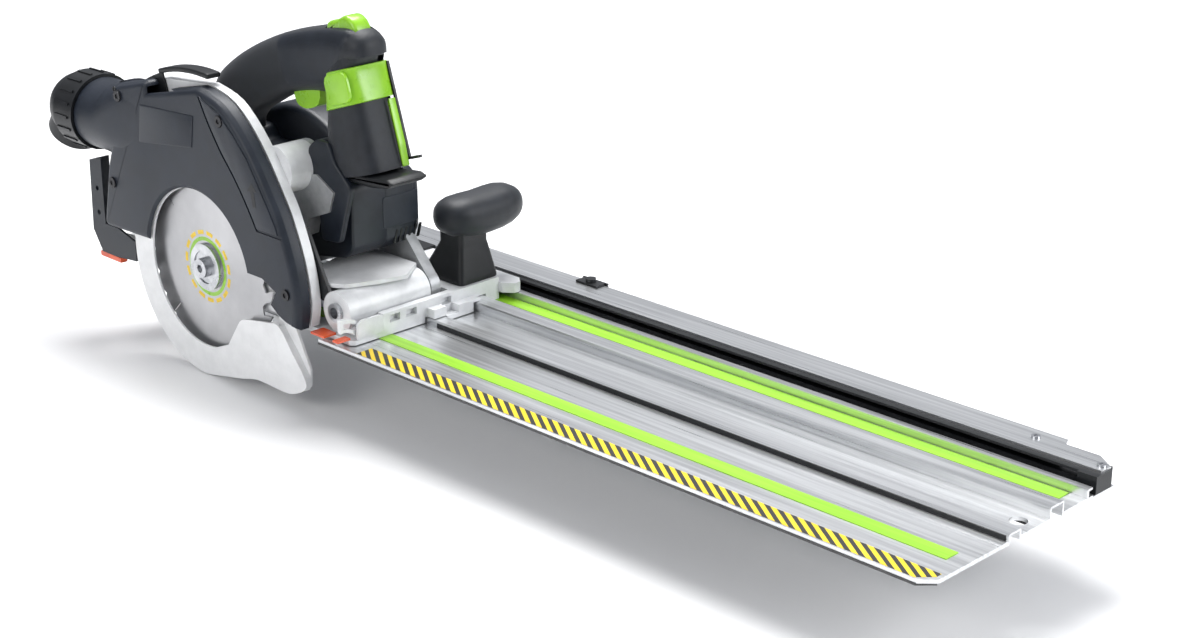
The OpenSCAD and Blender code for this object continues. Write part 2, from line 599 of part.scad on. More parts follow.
// Neck of the dust port, seated on the cover's rear edge and swelling over its face
module dust_port() color("#3c4048") difference() {
    union() {
        intersection() {
            tube_x(-150, -86, port_r);
            box([-150, outer_y - 3, 80], [-86, case_y1, 150]);
        }
        tube_x(-150, -110, port_r);
        tube_x(-168, -149, port_r - 0.5);
    }
    tube_x(-170, -80, port_r - 4);
    plate_y(outer_y, rim_y) polygon(concat(rim_front, rim_rear));
}
outlet_r = 18;
outlet_len = 28;
bend = [-178, port[0], port[1]];
bend_r = 27.5;
duct_r = 23.5;
module dust_elbow() color("#1f2226") difference() {
    union() {
        tube_x(-176, -151, 30.4);
        for (k = [0:17]) translate([0, port[0], port[1]]) rotate([20 * k, 0, 0])
            box([-174, 30, -1], [-156, 31.4, 1]);
        translate(bend) sphere(r = bend_r);
        elbow_out() cylinder(r = 22, h = outlet_len);
    }
    tube_x(-168.2, -150, port_r - 0.5 + run_gap);
    tube_x(bend[0], -160, duct_r);
    translate(bend) sphere(r = duct_r);
    elbow_out() cylinder(r = outlet_r, h = outlet_len + 1);
}
module elbow_out() translate(bend) rotate([0, 215, 0]) children();

// ---- motor housing, battery and handle -----------------------------------------------------
front_box = [[96, 117], [118, 108], [122, 98], [120, 62], [108, 50], [80, 46], [62, 33], [28, 30],
    [0, 38], [-44, 50]];
module motor_outline_low() polygon(concat([[-44, 127], [-2, 127], [4, 117]], front_box));
module motor_outline_high() polygon(concat(through([[-44, 100], [-34, 122], [-10, 139], [15, 145],
    [40, 143], [64, 133], [96, 117]]),
    [for (i = [1:len(front_box) - 1]) front_box[i]]));
module motor_housing() color("#2f333a") difference() {
    union() {
        plate_y(motor_y0, 72) motor_outline_low();
        plate_y(72, motor_y1) motor_outline_high();
    }
    rod_y(mot, motor_y0 - 1, 92, 34.2);
    rod_y(mot, 90, motor_y1 + 1, 9.5);
    plate_y(motor_y0 + 4, 94) polygon([[82, 108], [104, 108], [114, 97], [113, 64], [104, 56], [82, 56]]);
    // cooling slots in the front
    for (k = [0:4]) box([110, 76 + 4 * k, 54], [130, 78 + 4 * k, 70]);
    // guides of the battery pack
    box([-46, 50, 66], [-38, 92, 72]);
}
module motor_end_cap() color("#2f333a") difference() {
    plate_y(motor_y1, cap_y1) polygon([[-20, 52], [-24, 100], [-4, 126], [30, 128], [62, 116],
        [112, 104], [116, 66],
        [102, 54], [76, 50], [60, 38], [28, 35]]);
    rod_y(mot, motor_y1 - 1, motor_y1 + 6, 26);
    for (k = [-3:3]) box([mot[0] - 22, motor_y1 - 1, mot[1] + 6 * k - 1.2],
        [mot[0] + 22, cap_y1 + 1, mot[1] + 6 * k + 1.2]);
}
module control_board() color("#2f6d3f") {
    box([86, 50, 60], [88, 88, 106]);
    for (z = [66, 80, 94]) box([88, 56, z], [96, 82, z + 8]);
}
grip_line = through([[-40, 127], [-44, 156], [-19, 178], [11, 195], [39, 207], [64, 215], [99, 223],
    [130, 226],
    [143, 220], [143, 206]], 3);
palm_line = through([[106, 171], [99, 175], [84, 172], [64, 168], [46, 162], [27, 152], [10, 142],
    [-2, 127]], 3);
col_top = col_foot + 90 * [-sin(col_a), cos(col_a)];
col_end = col_foot + 15 * [-sin(col_a), cos(col_a)];
// The column's foot stands on the motor housing behind the depth lever
column_foot = [[107.4, 127], [107.4, 112.336], [97, 116.591], [101, 140]];
module handle_outline() polygon(concat(grip_line, [col_top, col_end], column_foot, palm_line));
module column_outline() polygon([col_top + [0, -6], col_end, [107.4, 127], [101, 140], [108, 190]]);
module handle_cuts() {
    // trigger pocket, lock button pocket and the column's slots
    box([55.6, 44.6, 150], [86.4, 59.4, 186.5]);
    box([97, 43.6, 212], [131, 60.4, 240]);
    col_frame() box([-5.2, 60.5, 10], [10, 68, 95]);
    col_frame() box([-3.4, 69, 10], [10, 73, 100]);
}
// Frame of the column's front line: x leaves the column, z runs up it
module col_frame() translate([col_foot[0], 0, col_foot[1]]) rotate([0, -col_a, 0]) children();
module handle_near() color("#2f333a") difference() {
    union() {
        plate_y(grip_y - grip_hw, grip_y) handle_outline();
        plate_y(grip_y - column_hw, grip_y - grip_hw) column_outline();
    }
    handle_cuts();
}
module handle_far() color("#2f333a") difference() {
    union() {
        plate_y(grip_y, grip_y + grip_hw) handle_outline();
        plate_y(grip_y + grip_hw, grip_y + column_hw + 2) column_outline();
    }
    handle_cuts();
}
module trigger() color("yellowgreen") plate_y(45, 59)
    polygon(concat(through([[56, 164], [60, 158], [70, 156.5], [82, 161], [86, 168]], 4), [[86, 181],
        [56, 181]]));
module lock_button() color("yellowgreen") plate_y(44, 60)
    polygon(concat(through([[130.5, 223], [126, 230], [118, 233], [110, 229],
        [98, 225]], 4), [[98, 217], [130.5, 217]]));
module quick_lever() color("yellowgreen") col_frame() {
    difference() {
        box([-34, 29.2, 65], [4, 76.6, 89.6]);
        box([-60, 31.6, 63], [1, 74.4, 93]);
    }
    box([1, 61, 30], [4, 67.4, 67]);
    box([-3.4, 61, 17], [1.1, 67.4, 61]);
    translate([-1, 61, 16.6]) rotate([-90, 0, 0]) cylinder(r = 2.2, h = 6.4);
}
module hex_key() color("#1b1c1e") col_frame() {
    box([-1.9, 70, 20], [0.1, 72, 90]);
    box([-1.9, 70, 18], [12, 72, 20]);
}
module depth_lever() color("#23262b") {
    rod_y([112, 121.6], 34, 69, 3.6);
    plate_y(34, 69) polygon([[112, 118.2], [150, 119.5], [168, 124], [176, 123], [170, 118.6],
        [150, 115.2], [124, 114.6], [112, 118]]);
}
module battery_pack() color("#26292e") {
    box([-112, 47.5, 54], [-44.4, 99, 122]);
    box([-108, 50, 122], [-50, 96, 125]);
}
module battery_latch() color("yellowgreen") box([-114, 62, 104], [-112, 84, 118]);

rail_extrusion();
splinter_guard();
hazard_tape();
glide_strip_near();
glide_strip_far();
anti_slip_strips();
return_housing();
return_cover();
rail_end_cap();
return_rope();
rail_screws();
pivot_stop();
angle_stop();
base_plate();
front_segment();
rear_segment();
guide_jaws();
cut_pointers();
rope_catch();
knob_pedestal();
knob_grip();
tilt_frame();
rear_bracket();
rear_insert();
plunge_spring();
depth_sector();
bevel_lever();
gear_housing();
gear_case_cover();
pivot_arm();
plunge_shaft();
blade_cover();
cover_panel();
cover_screws();
dust_port();
dust_elbow();
motor_housing();
motor_end_cap();
control_board();
stator();
bearings();
rotor();
cooling_fan();
layshaft();
arbor();
inner_flange();
saw_blade();
outer_flange();
arbor_screw();
pendulum_guard();
guard_lever();
handle_near();
handle_far();
trigger();
lock_button();
quick_lever();
hex_key();
depth_lever();
battery_pack();
battery_latch();
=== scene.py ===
import json
import math
import bmesh
import bpy
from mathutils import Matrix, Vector


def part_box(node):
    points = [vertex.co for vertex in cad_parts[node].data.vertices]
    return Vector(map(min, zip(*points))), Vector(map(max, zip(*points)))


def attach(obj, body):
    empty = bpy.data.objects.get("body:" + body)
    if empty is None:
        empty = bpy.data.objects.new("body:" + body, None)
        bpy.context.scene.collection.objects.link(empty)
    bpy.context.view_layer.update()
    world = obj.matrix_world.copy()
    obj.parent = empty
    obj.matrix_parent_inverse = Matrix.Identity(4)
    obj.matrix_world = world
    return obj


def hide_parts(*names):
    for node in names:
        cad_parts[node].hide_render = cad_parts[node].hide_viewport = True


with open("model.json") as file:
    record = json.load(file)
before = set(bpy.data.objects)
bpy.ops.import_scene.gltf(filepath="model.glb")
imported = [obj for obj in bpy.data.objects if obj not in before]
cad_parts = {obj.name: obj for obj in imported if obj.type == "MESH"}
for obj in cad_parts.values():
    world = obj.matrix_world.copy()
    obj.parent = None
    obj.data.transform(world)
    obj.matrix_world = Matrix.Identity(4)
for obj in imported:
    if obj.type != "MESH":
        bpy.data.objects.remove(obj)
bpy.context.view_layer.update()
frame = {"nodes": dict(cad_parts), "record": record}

nodes = frame["nodes"]
record = frame["record"]
scene = bpy.context.scene
# Outlines are in millimetres in the frame's own axes: X, Z from the side, unless a comment says otherwise
MM = 0.001
HUB = (0.0, 29.0)           # blade's axis
COL_FOOT = (160.0, 113.0)   # foot of the handle column's front line
COL_A = math.atan(28 / 87)  # lean of that line
GRIP_Y = 52.0               # middle plane of the handle
# The photograph's view: place, tilt below the horizon, turn about Z, focal length on a 36 mm sensor
CAM_PLACE = (1.320286, -0.920446, 0.5792)
CAM_DOWN = 20.55
CAM_TURN = 44.62
CAM_LENS = 66.66


# ---- camera ---------------------------------------------------------------------------------
cam_data = bpy.data.cameras.new("camera")
cam = bpy.data.objects.new("camera", cam_data)
scene.collection.objects.link(cam)
cam.location = CAM_PLACE
cam.rotation_euler = (math.radians(90 - CAM_DOWN), 0, math.radians(CAM_TURN))
cam_data.sensor_width = 36
cam_data.lens = CAM_LENS
cam_data.clip_end = 50
scene.camera = cam


# ---- materials ------------------------------------------------------------------------------
def node(tree, kind, **inputs):
    """A shader node with its inputs set by name."""
    n = tree.nodes.new(kind)
    for key, value in inputs.items():
        n.inputs[key.replace("_", " ")].default_value = value
    return n


def material(name, dark, light, rough, metal, spots, grain, bump, stretch=None, coat=0.0,
             rough_var=0.06, sheen=0.0):
    """Two colours in broad spots, with roughness that follows them and a fine grain in relief."""
    m = bpy.data.materials.new(name)
    m.use_nodes = True
    t = m.node_tree
    bsdf = t.nodes["Principled BSDF"]
    bsdf.inputs["Metallic"].default_value = metal
    bsdf.inputs["Coat Weight"].default_value = coat
    bsdf.inputs["Coat Roughness"].default_value = 0.25
    bsdf.inputs["Sheen Weight"].default_value = sheen
    place = t.nodes.new("ShaderNodeTexCoord").outputs["Object"]
    if stretch:
        mapping = node(t, "ShaderNodeMapping", Scale=stretch)
        t.links.new(place, mapping.inputs["Vector"])
        place = mapping.outputs["Vector"]
    broad = node(t, "ShaderNodeTexNoise", Scale=spots, Detail=5.0, Roughness=0.6)
    t.links.new(place, broad.inputs["Vector"])
    ramp = t.nodes.new("ShaderNodeValToRGB")
    ramp.color_ramp.elements[0].position = 0.35
    ramp.color_ramp.elements[0].color = (*dark, 1)
    ramp.color_ramp.elements[1].position = 0.65
    ramp.color_ramp.elements[1].color = (*light, 1)
    t.links.new(broad.outputs["Fac"], ramp.inputs["Fac"])
    t.links.new(ramp.outputs["Color"], bsdf.inputs["Base Color"])
    spread = node(t, "ShaderNodeMapRange", To_Min=rough - rough_var, To_Max=rough + rough_var)
    t.links.new(broad.outputs["Fac"], spread.inputs["Value"])
    t.links.new(spread.outputs["Result"], bsdf.inputs["Roughness"])
    fine = node(t, "ShaderNodeTexNoise", Scale=grain, Detail=3.0, Roughness=0.6)
    t.links.new(place, fine.inputs["Vector"])
    relief = node(t, "ShaderNodeBump", Strength=bump, Distance=0.0003)
    t.links.new(fine.outputs["Fac"], relief.inputs["Height"])
    t.links.new(relief.outputs["Normal"], bsdf.inputs["Normal"])
    return m


def bars(m, pitch, lean, dark):
    """Slanted bars over a material's own colour, along X, as wide as the gaps between them."""
    t = m.node_tree
    bsdf = t.nodes["Principled BSDF"]
    old = bsdf.inputs["Base Color"].links[0].from_socket
    place = t.nodes.new("ShaderNodeTexCoord")
    split = t.nodes.new("ShaderNodeSeparateXYZ")
    t.links.new(place.outputs["Object"], split.inputs[0])
    slope = t.nodes.new("ShaderNodeMath")
    slope.operation = "MULTIPLY_ADD"
    slope.inputs[1].default_value = lean
    t.links.new(split.outputs["Y"], slope.inputs[0])
    t.links.new(split.outputs["X"], slope.inputs[2])
    turn = t.nodes.new("ShaderNodeMath")
    turn.operation = "MULTIPLY"
    turn.inputs[1].default_value = 1 / pitch
    t.links.new(slope.outputs[0], turn.inputs[0])
    part = t.nodes.new("ShaderNodeMath")
    part.operation = "FRACT"
    t.links.new(turn.outputs[0], part.inputs[0])
    on = t.nodes.new("ShaderNodeMath")
    on.operation = "GREATER_THAN"
    on.inputs[1].default_value = 0.5
    t.links.new(part.outputs[0], on.inputs[0])
    mix = t.nodes.new("ShaderNodeMix")
    mix.data_type = "RGBA"
    mix.inputs["B"].default_value = (*dark, 1)
    t.links.new(on.outputs[0], mix.inputs["Factor"])
    t.links.new(old, mix.inputs["A"])
    t.links.new(mix.outputs["Result"], bsdf.inputs["Base Color"])


# two colours, roughness, metal, spots and grain per metre, relief
FINISH = {
    "white_casting": ((0.66, 0.67, 0.68), (0.76, 0.77, 0.78), 0.36, 0.1, 70, 1500, 0.12),
    "dark_housing": ((0.007, 0.010, 0.016), (0.012, 0.016, 0.024), 0.40, 0, 90, 2200, 0.22),
    "cover_plastic": ((0.009, 0.013, 0.021), (0.015, 0.020, 0.031), 0.42, 0, 60, 2200, 0.25),
    "black_plastic": ((0.004, 0.005, 0.006), (0.008, 0.009, 0.011), 0.40, 0, 80, 1800, 0.15),
    "soft_grip": ((0.006, 0.008, 0.012), (0.011, 0.014, 0.020), 0.48, 0, 120, 2600, 0.3),
    "green_plastic": ((0.22, 0.50, 0.012), (0.29, 0.60, 0.025), 0.28, 0, 50, 1500, 0.05),
    "orange_plastic": ((0.62, 0.07, 0.02), (0.8, 0.12, 0.03), 0.35, 0, 60, 1500, 0.08),
    "rail_aluminium": ((0.60, 0.61, 0.62), (0.80, 0.81, 0.82), 0.30, 0.95, 14, 60, 0.05),
    "black_rubber": ((0.012, 0.012, 0.012), (0.025, 0.025, 0.026), 0.7, 0, 90, 1500, 0.3),
    "splinter_rubber": ((0.05, 0.05, 0.05), (0.09, 0.09, 0.09), 0.6, 0, 90, 1500, 0.2),
    "hazard": ((0.80, 0.55, 0.01), (0.9, 0.66, 0.02), 0.4, 0, 60, 900, 0.05),
    "glide": ((0.25, 0.55, 0.02), (0.33, 0.66, 0.04), 0.35, 0, 50, 400, 0.08),
    "gear_steel": ((0.42, 0.43, 0.45), (0.62, 0.63, 0.65), 0.28, 1, 80, 1400, 0.08),
    "blade_steel": ((0.46, 0.46, 0.47), (0.54, 0.54, 0.55), 0.34, 1.0, 25, 900, 0.03),
    "black_steel": ((0.02, 0.02, 0.022), (0.045, 0.046, 0.05), 0.38, 0.6, 90, 1500, 0.12),
    "grey_casting": ((0.36, 0.37, 0.38), (0.5, 0.51, 0.52), 0.42, 0.6, 80, 1300, 0.2),
    "guard_metal": ((0.74, 0.745, 0.75), (0.82, 0.825, 0.83), 0.38, 0.0, 60, 1500, 0.08),
    "copper": ((0.4, 0.16, 0.06), (0.66, 0.3, 0.12), 0.35, 0.9, 200, 800, 0.3),
    "board": ((0.01, 0.1, 0.03), (0.03, 0.2, 0.07), 0.4, 0, 300, 1200, 0.2),
    "printed_yellow": ((0.75, 0.5, 0.02), (0.85, 0.6, 0.03), 0.4, 0, 60, 900, 0.03),
}
SPECIAL = {
    "soft_grip": {"sheen": 0.1},
    "green_plastic": {"coat": 0.3},
    "orange_plastic": {"coat": 0.2},
    "rail_aluminium": {"stretch": (0.35, 22, 22), "rough_var": 0.08},
    "glide": {"stretch": (0.2, 6, 6)},
    "copper": {"stretch": (1, 0.2, 1)},
}
MAT = {name: material(name, *row, **SPECIAL.get(name, {})) for name, row in FINISH.items()}
bars(MAT["hazard"], 0.0105, 1.5, (0.02, 0.02, 0.02))
# the blade is brushed round its axis
steel = MAT["blade_steel"].node_tree
turning = steel.nodes.new("ShaderNodeTangent")
turning.direction_type = "RADIAL"
turning.axis = "Y"
steel.links.new(turning.outputs["Tangent"], steel.nodes["Principled BSDF"].inputs["Tangent"])
steel.nodes["Principled BSDF"].inputs["Anisotropic"].default_value = 0.85
for name in ("dark_housing", "cover_plastic", "black_plastic", "soft_grip"):
    MAT[name].node_tree.nodes["Principled BSDF"].inputs["Specular IOR Level"].default_value = 0.4
SLOT = {s["node"]: s["material_slot"] for s in record["subparts"]}


# ---- mesh helpers, in millimetres ------------------------------------------------------------
def smooth(me, angle):
    me.polygons.foreach_set("use_smooth", [True] * len(me.polygons))
    me.set_sharp_from_angle(angle=math.radians(angle))


def bevelled(o, width, segments, angle):
    b = o.modifiers.new("soft_edges", "BEVEL")
    b.width = width * MM
    b.segments = segments
    b.limit_method = "ANGLE"
    b.angle_limit = math.radians(angle)
    b.harden_normals = True


def mesh(name, verts, faces):
    """A clean mesh object from points in millimetres."""
    me = bpy.data.meshes.new(name)
    me.from_pydata([[c * MM for c in v] for v in verts], [], faces)
    bm = bmesh.new()
    bm.from_mesh(me)
    bmesh.ops.remove_doubles(bm, verts=bm.verts, dist=1e-6)
    bmesh.ops.recalc_face_normals(bm, faces=bm.faces)
    bm.to_mesh(me)
    bm.free()
    o = bpy.data.objects.new(name, me)
    scene.collection.objects.link(o)
    return o


def dress(o, body, slot, replaces=(), angle=32):
    """Shade a piece, give it its material and hand it to its body."""
    smooth(o.data, angle)
    o.data.materials.clear()
    o.data.materials.append(MAT[slot])
    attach(o, body)
    if replaces:
        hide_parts(*replaces)
    return o


def loft(name, rings, caps=True):
    """A skin through closed rings of equal length."""
    n = len(rings[0])
    verts = [p for ring in rings for p in ring]
    faces = []
    for i in range(len(rings) - 1):
        for j in range(n):
            near, far = i * n, (i + 1) * n
            k = (j + 1) % n
            faces.append((near + j, near + k, far + k, far + j))
    if caps:
        faces.append(tuple(range(n)))
        faces.append(tuple((len(rings) - 1) * n + j for j in range(n)))
    return mesh(name, verts, faces)


def spline(pts, steps=4):
    """A smooth line through the points, with its ends kept."""
    v = [Vector(p) for p in pts]
    last = len(v) - 1
    out = []
    for i in range(last):
        a, b, c, d = v[max(i - 1, 0)], v[i], v[i + 1], v[min(i + 2, last)]
        p1, p2 = b + (c - a) / 6, c - (d - b) / 6
        for s in range(steps):
            t = s / steps
            out.append((1 - t) ** 3 * b + 3 * t * (1 - t) ** 2 * p1 + 3 * t * t * (1 - t) * p2 + t ** 3 * c)
    out.append(v[-1])
    return [tuple(p) for p in out]


def soft(poly, r, n=5):
    """An outline with its corners rounded."""
    out = []
    for i, p in enumerate(poly):
        p = Vector(p)
        a, b = Vector(poly[i - 1]), Vector(poly[(i + 1) % len(poly)])
        ra = min(r, (a - p).length * 0.45)
        rb = min(r, (b - p).length * 0.45)
        s, e = p + (a - p).normalized() * ra, p + (b - p).normalized() * rb
        for k in range(n + 1):
            t = k / n
            out.append(tuple((1 - t) ** 2 * s + 2 * t * (1 - t) * p + t * t * e))
    return out


def arc(c, r, a0, a1, n):
    """Points on a circle about c, from a0 to a1 degrees."""
    return [(c[0] + r * math.cos(math.radians(a0 + (a1 - a0) * i / n)),
             c[1] + r * math.sin(math.radians(a0 + (a1 - a0) * i / n))) for i in range(n + 1)]


def inset(poly, d):
    """A closed outline moved inward by d."""
    area = sum(poly[i - 1][0] * poly[i][1] - poly[i][0] * poly[i - 1][1] for i in range(len(poly)))
    side = 1 if area > 0 else -1
    out = []
    for i, p in enumerate(poly):
        p = Vector(p)
        a, b = Vector(poly[i - 1]), Vector(poly[(i + 1) % len(poly)])
        u, w = p - a, b - p
        if u.length < 1e-6 or w.length < 1e-6:
            u = w = b - a
        u.normalize()
        w.normalize()
        t = u + w
        if t.length < 1e-6:
            t = w
        t.normalize()
        k = max(0.4, t.dot(w))
        out.append((p[0] - t[1] * side * d / k, p[1] + t[0] * side * d / k))
    return out


def edge(start, end, ra, rb, n=4):
    """(inset, height) steps of a slab from start to end with rims rounded by ra and rb."""
    s = 1 if end > start else -1
    angles = [math.pi / 2 * k / n for k in range(n + 1)]
    turn = [(1 - math.sin(a), 1 - math.cos(a)) for a in angles]
    low = [(ra * u, start + s * ra * v) for u, v in turn] if ra else [(0, start)]
    high = [(rb * v, end - s * rb * u) for u, v in turn] if rb else [(0, end)]
    return low + high


def ribbon(path, width):
    """The outline of a strip laid along an open path."""
    left, right = [], []
    for i, p in enumerate(path):
        t = (Vector(path[min(i + 1, len(path) - 1)]) - Vector(path[max(i - 1, 0)])).normalized() * (width / 2)
        left.append((p[0] - t[1], p[1] + t[0]))
        right.append((p[0] + t[1], p[1] - t[0]))
    return left + right[::-1]


def slab(name, outline, steps, plane="y"):
    """An outline carried through (inset, height) steps. plane y: outline is X, Z; z: X, Y; x: Y, Z."""
    rings = []
    for d, h in steps:
        ring = inset(outline, d) if abs(d) > 1e-9 else outline
        if plane == "y":
            rings.append([(p[0], h, p[1]) for p in ring])
        elif plane == "z":
            rings.append([(p[0], p[1], h) for p in ring])
        else:
            rings.append([(h, p[0], p[1]) for p in ring])
    return loft(name, rings)


def cut(o, *tools):
    """Take the tools away from a piece, for good."""
    for tool in tools:
        m = o.modifiers.new("cut", "BOOLEAN")
        m.object = tool
        m.operation = "DIFFERENCE"
        m.solver = "EXACT"
    bpy.context.view_layer.update()
    me = bpy.data.meshes.new_from_object(o.evaluated_get(bpy.context.evaluated_depsgraph_get()))
    o.modifiers.clear()
    o.data = me
    for tool in tools:
        bpy.data.objects.remove(tool)
    return o


def joined(name, parts):
    """Several plain meshes as one piece."""
    bm = bmesh.new()
    for p in parts:
        bm.from_mesh(p.data)
        bpy.data.objects.remove(p)
    me = bpy.data.meshes.new(name)
    bm.to_mesh(me)
    bm.free()
    o = bpy.data.objects.new(name, me)
    scene.collection.objects.link(o)
    return o


def squircle(a, power):
    """A point of a unit superellipse: power 2 is a circle, higher is squarer."""
    c, s = math.cos(a), math.sin(a)
    return math.copysign(abs(c) ** (2 / power), c), math.copysign(abs(s) ** (2 / power), s)


def on_skin(station, y, u, v, stretch=1.0, wide=0.0):
    """The point (u, v) of a rounded section: stretch scales its side view, wide adds to its half width."""
    (top_x, top_z), (low_x, low_z), w = station
    x = (top_x + low_x) / 2 + u * (top_x - low_x) / 2 * stretch
    z = (top_z + low_z) / 2 + u * (top_z - low_z) / 2 * stretch
    return x, y + v * (w + wide), z


def section(station, y, power, n=40):
    """A rounded cross-section at a station (top, bottom, half width)."""
    return [on_skin(station, y, *squircle(2 * math.pi * k / n, power)) for k in range(n)]


def between(a, b, f):
    """A station (top, bottom, w) part of the way from a to b."""
    mix = lambda p, q: tuple(x + (y - x) * f for x, y in zip(p, q))
    return mix(a[0], b[0]), mix(a[1], b[1]), a[2] + (b[2] - a[2]) * f


def smooth_stations(stations, steps):
    flat = spline([(*s[0], *s[1], s[2]) for s in stations], steps)
    return [((f[0], f[1]), (f[2], f[3]), f[4]) for f in flat]


def col(x, z):
    """A point in the column's frame: x leaves its front line, z runs up it."""
    c, s = math.cos(COL_A), math.sin(COL_A)
    return (COL_FOOT[0] + x * c - z * s, COL_FOOT[1] + x * s + z * c)


# ---- CAD nodes: materials and softened edges -------------------------------------------------
SOFT = {"base_plate": 0.7, "tilt_frame": 0.8, "gear_housing": 0.9, "gear_case_cover": 0.9, "pivot_arm": 0.9,
        "pendulum_guard": 0.45, "rail_extrusion": 0.25, "return_housing": 0.5, "rail_end_cap": 0.8,
        "return_cover": 0.35, "angle_stop": 0.35, "rope_catch": 0.5, "cut_pointers": 0.4, "trigger": 1.6,
        "rear_bracket": 0.6, "rear_insert": 0.6, "depth_sector": 0.4, "bevel_lever": 1.0,
        "front_segment": 0.5, "rear_segment": 0.5, "battery_latch": 0.4, "guide_jaws": 0.3,
        "cover_screws": 0.3, "rail_screws": 0.3, "arbor_screw": 0.5, "outer_flange": 0.6,
        "plunge_shaft": 0.6, "hex_key": 0.3, "cooling_fan": 0.2, "dust_elbow": 0.7}
for name, o in nodes.items():
    o.data.materials.clear()
    o.data.materials.append(MAT[SLOT[name]])
    smooth(o.data, 30)
    if name in SOFT:
        bevelled(o, SOFT[name], 2, 34)


# ---- blade cover ----------------------------------------------------------------------------
RIM_Y = 0.4        # back of the cover's rim
FACE_Y = -12.0     # outer face
ROOM_Y = -9.8      # inner face, over the blade
hollow = [(0, ROOM_Y), (0, 10)]
rim_front = spline([(118, 10), (121, 28), (117, 55), (106, 85), (95, 105), (70, 140), (42, 164),
                    (12, 172)], 5)
rim_rear = [(-50, 166.5), (-98, 154), (-104, 108), (-112, 89), (-124, 35), (-57, 37)]
rim = rim_front + soft(rim_rear, 9, 5)[:-6] + rim_rear[-1:]     # the last corner stays sharp
shell = slab("cover_shell", rim, [(0, RIM_Y), (0, -6.5), (0.4, -7.6), (1.1, -8.8), (1.5, -9.9), (2.2, -11),
                                  (3.4, -11.7), (5.2, FACE_Y)])
room = slab("room", arc(HUB, 90, -14, 186, 50), hollow)
room_low = slab("room_low", [(-92, -10), (90, -10), (90, 30), (-92, 30)], hollow)
room_nose = slab("room_nose", [(84, -10), (113.5, -10), (113.5, 33), (84, 33)], hollow)
chips = slab("chips", [(-93, 122), (-93, 148), (-45, 163), (8, 164), (66, 130), (90, 60), (0, 90)], hollow)
window = slab("window", arc(HUB, 62.6, 0, 360, 71)[:-1],
              [(0, 0), (0, -9.7), (-0.6, -10.6), (-2.6, -12.1), (-2.6, -15)])
nose = slab("nose", [(50, 42), (81, 42), (97, 35), (90, 24), (99, 18), (110, 6), (40, 6)],
            [(0, -5), (0, -15)])
under = slab("under", [(-57, 37), (-70, 0), (100, 0), (118, 8.5), (99, 18), (40, 18), (-30, 37)],
             [(0, -15), (0, 10)])
cut(shell, room, room_low, room_nose, chips, window, nose, under)
panel_line = spline([(16, 166), (25, 150), (39, 130), (54, 113), (68, 94), (78, 78)], 5)
cut(shell, slab("groove", ribbon(panel_line, 2.0), [(0, -11.1), (0, -13)]))
cut(shell, slab("groove_end", [(77.3, 76.9), (114, 76.9), (114, 78.9), (77.3, 78.9)],
                [(0, -11.15), (0, -13.1)]))
dress(shell, "saw", "cover_plastic", ["blade_cover"], 35)

# front panel of the cover beside its groove, and a plain direction arrow
panel_out = [(x + 1.6, z + 0.6) for x, z in panel_line[:-2]]
panel_out += [(78.5, 79.6), (103, 79.6), (101, 85), (93, 98), (71, 130), (56, 145), (40, 157.8), (20.5, 165)]
panel = slab("cover_front_panel", panel_out, edge(-11.9, -12.8, 0, 0.5, 3))
cut(panel, slab("dimple", arc((40, 152), 4.7, 0, 350, 35), [(0, -11), (0, -14)]))
dress(panel, "saw", "cover_plastic", ["cover_panel"], 40)
arrow = slab("turn_arrow", [(76, 113.5), (70, 106.6), (74, 106.7), (76.2, 95), (80.2, 95.5), (78.4, 107.1),
                            (82, 107.6)], [(0, -12.6), (0.2, -12.95)])
dress(arrow, "saw", "black_plastic")
well = slab("cover_hole", arc((-93.6, 151.6), 2.2, 0, 345, 23),
            [(0, -11.6), (0, -12.1), (0.7, -12.1), (0.9, -11.7)])
dress(well, "saw", "black_plastic", angle=50)

# port neck: a round tube that melts into the cover's face
PORT = (14.0, 118.0)     # Y, Z of the tube's axis
PORT_END = -167.5
PORT_BORE = 24.0
FLAT_FROM = -109.0       # the neck's back is flat ahead of this, inside the cover's rim
# x, top, bottom, front, power of each section
neck_at = [(PORT_END, 145.5, 90.5, -13.5, 2), (-150.5, 145.5, 90.5, -13.5, 2), (-150, 146, 90, -14, 2),
           (-128, 146, 90, -14, 2.0), (-120, 148.6, 90.2, -14.1, 2.2), (-112, 151.4, 90.6, -14.1, 2.5),
           (-104, 153.9, 91.2, -13.9, 2.9), (-96, 156, 92, -13.6, 3.3), (-88, 158, 93.5, -13.2, 3.7),
           (-80, 159.9, 96, -12.7, 4.0), (-70, 161.7, 100, -12.2, 4.3), (-60, 162.6, 105, -11.7, 4.5)]
neck = []
for x, top, bottom, front, power in neck_at:
    ring = []
    for k in range(64):
        u, v = squircle(2 * math.pi * k / 64, power)
        y = PORT[0] + (PORT[0] - front) * u
        z = (top + bottom) / 2 + (top - bottom) / 2 * v
        ring.append((x, min(y, RIM_Y - 0.1) if x > FLAT_FROM else y, z))
    neck.append(ring)


def port_ring(x, r):
    return [(x, y, z) for y, z in arc(PORT, r, 0, 360, 48)[:-1]]


outer = loft("port_outer", neck, caps=False)
inner = loft("port_inner", [port_ring(PORT_END, PORT_BORE), port_ring(-112, PORT_BORE)], caps=False)
lip = loft("port_lip", [port_ring(PORT_END, PORT_BORE), port_ring(PORT_END, 27.5)], caps=False)
dress(joined("port_neck", [outer, inner, lip]), "saw", "cover_plastic", ["dust_port"])
blank = slab("blank_plate", soft([(-64, 116), (4, 125), (8, 150), (-60, 146)], 1.5, 3),
             edge(-11.9, -12.5, 0, 0.25, 2))
dress(blank, "saw", "cover_plastic", angle=40)

